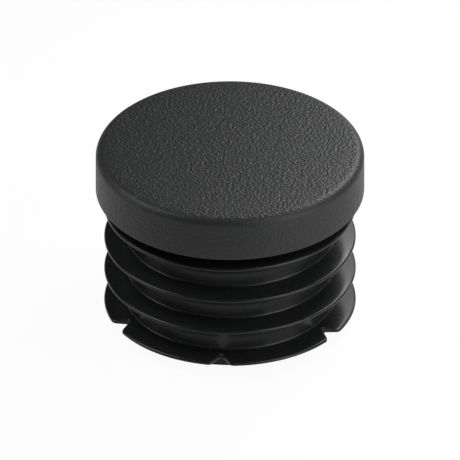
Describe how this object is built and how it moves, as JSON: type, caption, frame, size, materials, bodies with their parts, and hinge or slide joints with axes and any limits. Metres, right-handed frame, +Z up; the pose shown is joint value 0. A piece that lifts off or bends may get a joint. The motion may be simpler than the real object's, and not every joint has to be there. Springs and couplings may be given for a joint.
{
  "type": "pipe plug",
  "caption": "Round ribbed plug that closes the open end of a tube: a grained cap with a rounded edge over a hollow stem ringed by thin gripping lips, the last of them notched.",
  "frame": {"origin": "centre of the ring at the open end of the stem, which the plug stands on", "axes": "+Z up the plug's axis through the head; one notch of the last lip faces -Y"},
  "size_m": [0.03, 0.03, 0.0211],
  "materials": {
    "polyethylene": "black moulded polyethylene, with a fine leather grain on the head and a plain satin finish on the stem and lips"
  },
  "bodies": {
    "root": {"plug": "polyethylene"}
  },
  "joints": []
}
